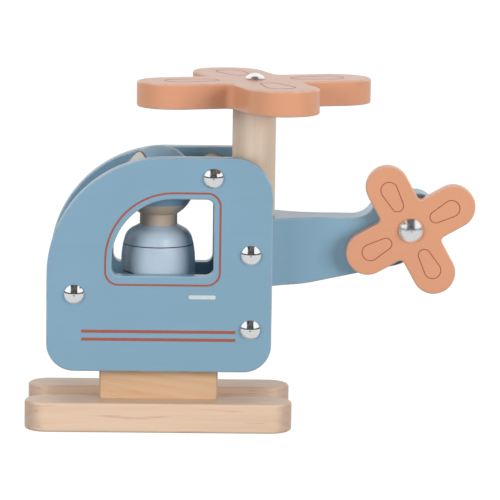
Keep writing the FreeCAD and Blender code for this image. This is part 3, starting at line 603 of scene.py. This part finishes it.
# The outline on an arm of the tail rotor: two circles, by their distance from the hub.
TAIL_BLADE = {"tip": 23.2 * MM, "tip_radius": 4.2 * MM,
              "root": 14.3 * MM, "root_radius": 3.0 * MM}
MAIN_TO_TAIL = 1.72                  # the main rotor's size over the tail rotor's
ARMS = 4
BLADE_LINE = {"main": 0.55 * MM, "tail": 0.45 * MM}
REST_ANGLE = {"main": math.radians(17.4), "tail": math.radians(29.3)}


def blade_loops(ratio, rest_angle):
    """One drop-shaped loop on each arm, turned to where the arms rest."""
    size = {key: value * ratio for key, value in TAIL_BLADE.items()}
    drop = blade_loop(size["tip"], size["tip_radius"], size["root"], size["root_radius"])
    loops = []
    for arm in range(ARMS):
        turn = Matrix.Rotation(rest_angle + arm * 2 * math.pi / ARMS, 2)
        loops.append([(turn @ point, turn @ out) for point, out in drop])
    return loops


def on_main_rotor(point, height):
    hub = HUB["main_rotor_spin"]
    return Vector((hub.x + point[0], hub.y + point[1], MAIN_TOP + height))


def on_tail_rotor(point, height):
    hub = HUB["tail_rotor_spin"]
    return Vector((hub.x + point[0], TAIL_FRONT - height, hub.z + point[1]))


print_line("main_blade_lines", blade_loops(MAIN_TO_TAIL, REST_ANGLE["main"]),
           BLADE_LINE["main"], on_main_rotor, RUST_INK, "main_rotor")
print_line("tail_blade_lines", blade_loops(1.0, REST_ANGLE["tail"]),
           BLADE_LINE["tail"], on_tail_rotor, RUST_INK, "tail_rotor")


# ---------------------------------------------------------------- the pilot's trim

# Points round one lens, in degrees round from the nose and up; the other is its mirror image.
LENS_RIM_POINTS = ((7.5, 52.0), (19.0, 56.0), (37.0, 54.5), (54.0, 48.0), (65.0, 38.0),
                   (63.0, 26.0), (47.0, 19.0), (31.0, 20.5), (20.0, 27.5), (10.5, 40.0))
LENS_RIM = 0.9 * MM
STRAP = {"up": 36.0, "width": 1.3 * MM}
BRIDGE = {"up": 48.0, "reach": 14.0}
EYE = {"round": 17.0, "up": 3.0, "half_width": 2.9, "half_height": 4.2}
SMILE = {"reach": 11.0, "up": -19.0, "curl": 4.5, "width": 0.6 * MM}
CHEST_LINE = {"height": 91.9 * MM, "width": 0.5 * MM}
POCKET = {"height": 78.5 * MM, "droop": 0.6 * MM, "width": 0.62 * MM, "from": 20, "to": 52}


def on_head(direction, height):
    return HEAD + direction.normalized() * (HEAD_RADIUS + height)


def head_oval(round_degrees, up_degrees, half_width, half_height, steps=24):
    """Directions round an oval on the head, given by its middle and its half sizes in degrees."""
    middle = face_direction(round_degrees, up_degrees)
    across = Vector((0, 0, 1)).cross(middle).normalized()
    upward = middle.cross(across)
    wide, tall = math.tan(math.radians(half_width)), math.tan(math.radians(half_height))
    return [(middle + across * wide * math.cos(angle) + upward * tall * math.sin(angle))
            .normalized() for angle in (2 * math.pi * i / steps for i in range(steps))]


def add_head_patch(work, rim, rings=6):
    """A thin shell that follows the head inside a closed run of directions."""
    middle = sum(rim, Vector()).normalized()
    edges = []
    for height in (INK_HEIGHT, -INK_ROOT):
        rows = [[work.verts.new(on_head(middle.lerp(d, k / rings), height)) for d in rim]
                for k in range(1, rings + 1)]
        centre = work.verts.new(on_head(middle, height))
        for first, second in pairs(rows[0]):
            work.faces.new((centre, first, second))
        add_skin(work, zip(rows, rows[1:]))
        edges.append(rows[-1])
    add_skin(work, [edges])


def pilot_piece(name, build, material):
    new_piece(name, build, material, "pilot")


def head_patches(name, rims, material):
    def build(work):
        for rim in rims:
            add_head_patch(work, rim)
    pilot_piece(name, build, material)


def head_line(directions, width):
    """Sections of a line of a width that runs over the head through some directions."""
    half = width / 2 / HEAD_RADIUS
    sections = []
    for i, here in enumerate(directions):
        before = directions[max(i - 1, 0)]
        after = directions[min(i + 1, len(directions) - 1)]
        aside = here.cross(after - before).normalized() * half
        sections.append((on_head(here - aside, -INK_ROOT), on_head(here + aside, -INK_ROOT),
                         on_head(here + aside, INK_HEIGHT), on_head(here - aside, INK_HEIGHT)))
    return sections


def spread(start, end, steps):
    """Evenly spaced values from start to end, both included."""
    return [start + (end - start) * i / steps for i in range(steps + 1)]


def smooth_loop(points, steps=8):
    """A closed curve through some points (Catmull-Rom)."""
    count, made = len(points), []
    for i in range(count):
        p0, p1, p2, p3 = (Vector(points[(i + k) % count]) for k in (-1, 0, 1, 2))
        for step in range(steps):
            t = step / steps
            made.append(0.5 * (2 * p1 + (p2 - p0) * t + (2 * p0 - 5 * p1 + 4 * p2 - p3) * t ** 2
                               + (3 * p1 - p0 - 3 * p2 + p3) * t ** 3))
    return made


def add_lens_rim(work, lens):
    """A raised ring just outside a lens."""
    middle = sum(lens, Vector()).normalized()
    grow = LENS_RIM / HEAD_RADIUS
    outer = [(d + (d - middle * d.dot(middle)).normalized() * grow).normalized() for d in lens]
    height = INK_HEIGHT * 2
    add_tube(work, [(on_head(a, -INK_ROOT), on_head(b, -INK_ROOT), on_head(b, height),
                     on_head(a, height)) for a, b in zip(lens, outer)])


def goggles():
    """Two cream lenses pushed up over the cap, with rims, a bridge and a strap round the back."""
    lenses = [[face_direction(side * point[0], point[1])
               for point in smooth_loop(LENS_RIM_POINTS)] for side in SIDES]
    head_patches("goggle_lenses", lenses, LENS_INK)
    start = max(point[0] for point in LENS_RIM_POINTS)
    strap = [face_direction(angle, STRAP["up"]) for angle in spread(start, 360 - start, 60)]
    bridge = [face_direction(angle, BRIDGE["up"])
              for angle in spread(-BRIDGE["reach"], BRIDGE["reach"], 12)]

    def build(work):
        for lens in lenses:
            add_lens_rim(work, lens)
        add_strip(work, head_line(strap, STRAP["width"]))
        add_strip(work, head_line(bridge, STRAP["width"]))
    pilot_piece("goggle_rims", build, RIM_INK)


def face():
    """Two plain dot eyes and a small smile."""
    eyes = [head_oval(side * EYE["round"], EYE["up"], EYE["half_width"], EYE["half_height"])
            for side in SIDES]
    head_patches("pilot_eyes", eyes, DARK_INK)
    smile = [face_direction(SMILE["reach"] * across, SMILE["up"] + SMILE["curl"] * across ** 2)
             for across in spread(-1, 1, 16)]

    def build(work):
        add_strip(work, head_line(smile, SMILE["width"]))
    pilot_piece("pilot_smile", build, RUST_INK)


def on_suit(angle, height, proud):
    """The point of the suit at an angle round its axis and a height, standing proud of it."""
    out = Vector((math.cos(angle), math.sin(angle), 0.0))
    well_outside = Vector((PILOT_X, 0.0, height)) + out * 100 * MM
    skin = PILOT_SKIN.ray_cast(well_outside, -out)[0]
    return skin + out * proud


def suit_line(points, width):
    """Sections of a line over the suit through (angle, height) points."""
    half = width / 2
    return [(on_suit(angle, height - half, -INK_ROOT), on_suit(angle, height - half, INK_HEIGHT),
             on_suit(angle, height + half, INK_HEIGHT), on_suit(angle, height + half, -INK_ROOT))
            for angle, height in points]


def suit_lines():
    """A thin line round the chest and a small pocket line on each side of the suit."""
    belt = [(angle, CHEST_LINE["height"]) for angle in spread(0, 2 * math.pi, 120)[:-1]]
    nose = math.pi
    pockets = [[(nose - side * math.radians(POCKET["from"] + share
                                            * (POCKET["to"] - POCKET["from"])),
                 POCKET["height"] - POCKET["droop"] * share ** 3)
                for share in spread(0, 1, 20)] for side in SIDES]

    def build(work):
        add_tube(work, suit_line(belt, CHEST_LINE["width"]))
        for pocket in pockets:
            add_strip(work, suit_line(pocket, POCKET["width"]))
    pilot_piece("suit_lines", build, DARK_INK)


goggles()
face()
suit_lines()


# ---------------------------------------------------------------- studio

LOOK_AT = Vector((CABIN_X + 45.9 * MM, 0.0, 88.55 * MM))
CAMERA = {"azimuth": -1.36, "elevation": 8.9, "distance": 1.640, "lens": 231.8, "roll": 0.8}
AMBIENT = {"all round": 0.05, "front": 0.10, "above": 0.10, "behind": 1.3}
BACKDROP_GLOW = {"eye": 1.05, "mirror": 1.02}
FLOOR_GLOW = {"eye": 1.02, "mirror": 0.68, "lamp": 0.16}
FLOOR_HALF = 6.0
FLOOR_DROP = 0.05 * MM              # keeps the floor clear of the skids' undersides
# What mirrors see in front of the toy: a dark gap between two white boxes, above a dark band.
DARK_GAP = {"half_width": 0.56, "narrowing": 0.14, "fade": 0.03, "band": (0.16, 0.21),
            "level": 0.05}
SOFTBOXES = (                       # name, place, width, height, power
    ("softbox_left", (-1.17, -1.10, 0.40), 0.8, 0.7, 16.4),
    ("softbox_right", (1.20, -1.06, 0.40), 0.8, 0.7, 19.4),
    ("softbox_top", (0.0, -0.10, 1.50), 1.2, 1.2, 5.0),
)
PILOT_GLINT = ("highlight", (0.60, -1.34, 0.71), 0.25, 0.25, 6.0)


def seen_by(g, eye, mirror, lamp):
    """One level for the camera, one for mirror-like rays and one for light that falls on things."""
    path = g.node("LightPath").outputs
    level = g.mix(path["Is Glossy Ray"], lamp, mirror, kind="FLOAT")
    return g.mix(path["Is Camera Ray"], level, eye, kind="FLOAT")


def floor():
    """A pale floor, bright enough to run into the backdrop, that still takes a faint shadow."""
    g = material_graph("studio_floor")
    haze = g.noise(g.point(), 6.0, detail=2.0)
    tone = g.mix(haze, (0.985, 0.99, 0.985, 1), (1, 1, 1, 1))
    glow = seen_by(g, FLOOR_GLOW["eye"], FLOOR_GLOW["mirror"], FLOOR_GLOW["lamp"])
    g.finish(Base_Color=(0.05, 0.05, 0.05, 1), Roughness=0.9, Emission_Color=tone,
             Emission_Strength=glow, Specular_IOR_Level=0.0)
    g.owner.cycles.emission_sampling = "NONE"    # or the levels above would not hold
    mesh = bpy.data.meshes.new("studio_floor")
    corners = [(x * FLOOR_HALF, y * FLOOR_HALF, 0)
               for x, y in ((-1, -1), (1, -1), (1, 1), (-1, 1))]
    mesh.from_pydata(corners, [], [(0, 1, 2, 3)])
    mesh.materials.append(g.owner)
    plane = bpy.data.objects.new("studio_floor", mesh)
    plane.location.z = -FLOOR_DROP
    bpy.context.scene.collection.objects.link(plane)


def backdrop():
    """White to the eye; in mirrors, two white boxes with the dark studio between and below."""
    world = bpy.data.worlds.new("studio")
    bpy.context.scene.world = world
    world.cycles.sampling_method = "NONE"        # as for the floor
    g = Graph(world)
    way = g.node("TexCoord").outputs["Generated"]
    x, y, z = g.parts(way)

    front = g.maths("LESS_THAN", y, 0.12)
    above = g.maths("GREATER_THAN", z, 0.0)
    reach = g.maths("SUBTRACT", DARK_GAP["half_width"],
                    g.maths("MULTIPLY", z, DARK_GAP["narrowing"]))
    between = g.remap(g.maths("SUBTRACT", g.maths("ABSOLUTE", x), reach),
                      -DARK_GAP["fade"], DARK_GAP["fade"], 1.0, 0.0)
    below = g.remap(z, *DARK_GAP["band"], 1.0, 0.0)
    dark = g.maths("MULTIPLY", g.maths("MULTIPLY", front, above),
                   g.maths("MAXIMUM", between, below))
    clutter = g.remap(g.noise(way, 5.0), 0.45, 0.75, 0.0, 0.22)
    dark_level = g.maths("ADD", clutter, DARK_GAP["level"])
    mirrored = g.mix(dark, BACKDROP_GLOW["mirror"], dark_level, kind="FLOAT")

    ahead = g.maths("MULTIPLY", g.maths("MAXIMUM", g.maths("MULTIPLY", y, -1.0), 0.0),
                    AMBIENT["front"])
    overhead = g.maths("MULTIPLY", g.maths("MAXIMUM", z, 0.0), AMBIENT["above"])
    behind = g.maths("MULTIPLY", g.remap(y, 0.45, 0.85, smooth=True), AMBIENT["behind"])
    lamp = g.maths("ADD", g.maths("ADD", ahead, overhead),
                   g.maths("ADD", behind, AMBIENT["all round"]))
    level = seen_by(g, BACKDROP_GLOW["eye"], mirrored, lamp)
    background = g.node("Background", {"Color": (1, 1, 1, 1), "Strength": level})
    g.node("OutputWorld", {"Surface": background.outputs[0]})


def softbox(name, place, width, height, power, glint_on=None):
    """A soft lamp; a glint only makes a highlight, and only on the one object named."""
    lamp = bpy.data.lights.new(name, "AREA")
    lamp.shape = "RECTANGLE"
    lamp.size, lamp.size_y = width, height
    lamp.energy = power
    box = bpy.data.objects.new(name, lamp)
    box.location = place
    box.rotation_euler = (LOOK_AT - Vector(place)).to_track_quat("-Z", "Y").to_euler()
    box.visible_camera = False
    box.visible_glossy = glint_on is not None
    box.visible_diffuse = glint_on is None
    if glint_on:
        lit = bpy.data.collections.new(name + "_lights")
        lit.objects.link(glint_on)
        box.light_linking.receiver_collection = lit
    bpy.context.scene.collection.objects.link(box)


def camera():
    azimuth, rise = math.radians(CAMERA["azimuth"]), math.radians(CAMERA["elevation"])
    back = Vector((math.sin(azimuth) * math.cos(rise), -math.cos(azimuth) * math.cos(rise),
                   math.sin(rise)))
    lens = bpy.data.cameras.new("camera")
    lens.lens = CAMERA["lens"]
    lens.sensor_width = 36.0
    lens.clip_start, lens.clip_end = 0.01, 50.0
    eye = bpy.data.objects.new("camera", lens)
    eye.location = LOOK_AT + back * CAMERA["distance"]
    level = (-back).to_track_quat("-Z", "Y").to_matrix()
    roll = Matrix.Rotation(math.radians(CAMERA["roll"]), 3, back)
    eye.rotation_euler = (roll @ level).to_euler()
    bpy.context.scene.collection.objects.link(eye)
    bpy.context.scene.camera = eye


floor()
backdrop()
for lamp in SOFTBOXES:
    softbox(*lamp)
softbox(*PILOT_GLINT, glint_on=NODES["pilot_figure"])
camera()
bpy.context.scene.view_settings.view_transform = "Standard"
